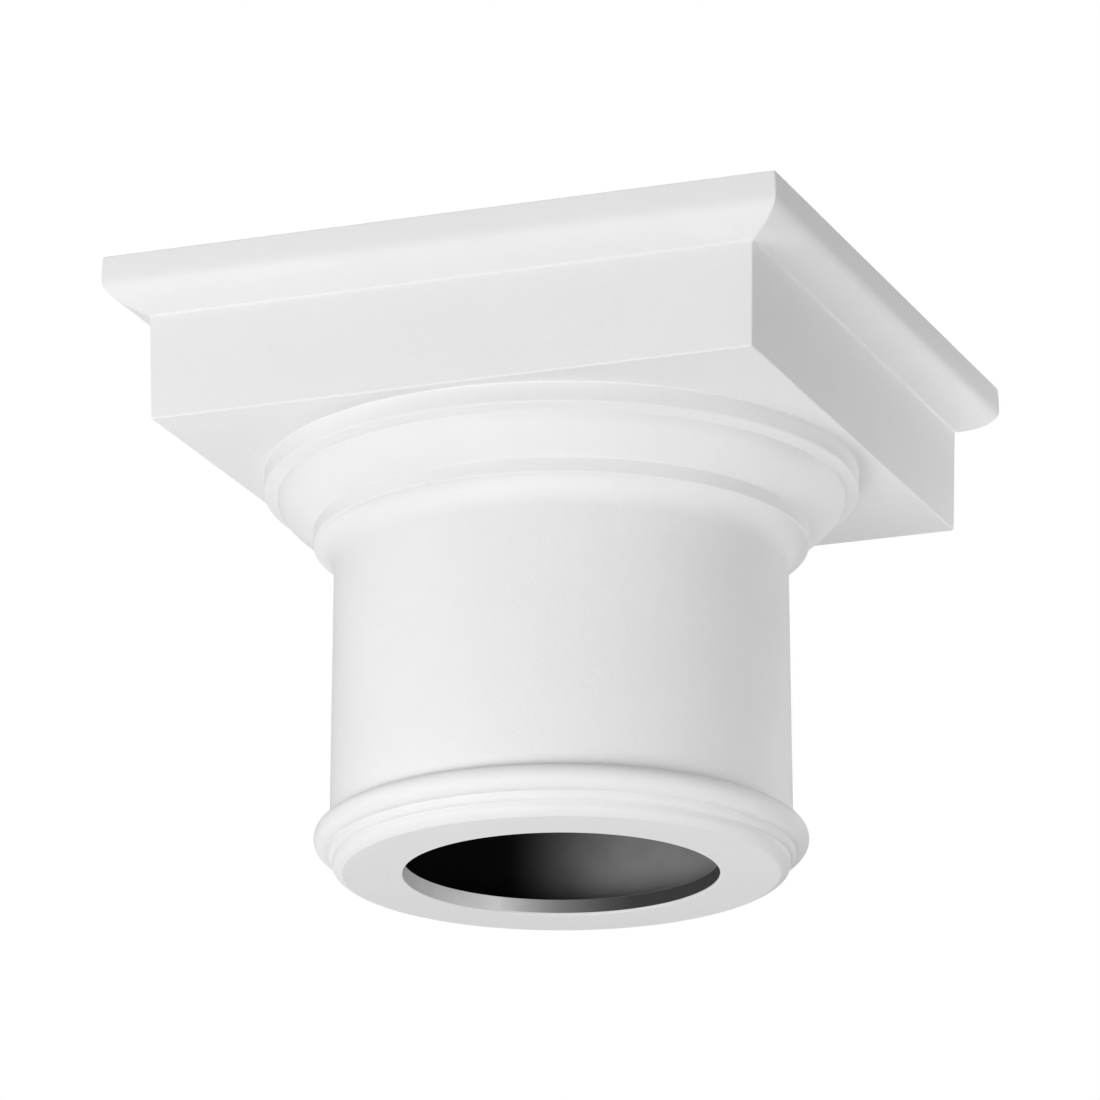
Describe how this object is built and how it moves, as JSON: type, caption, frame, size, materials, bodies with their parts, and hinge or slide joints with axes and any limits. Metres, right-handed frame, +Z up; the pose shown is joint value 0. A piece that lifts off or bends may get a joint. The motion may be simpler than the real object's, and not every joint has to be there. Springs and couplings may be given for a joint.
{
  "type": "tuscan column capital",
  "caption": "Hollow moulded column capital: square abacus with a crown moulding over a round echinus, necking and astragal, open right through for a post.",
  "frame": {"origin": "centre of the round seat ring, in the plane of the underside that stands on the column shaft", "axes": "+Z up along the axis of the column; +X and +Y square to the sides of the abacus"},
  "size_m": [0.3248, 0.3248, 0.2657],
  "materials": {
    "primer": "smooth moulded surface in white factory primer"
  },
  "bodies": {
    "root": {"capital": "primer"}
  },
  "joints": []
}
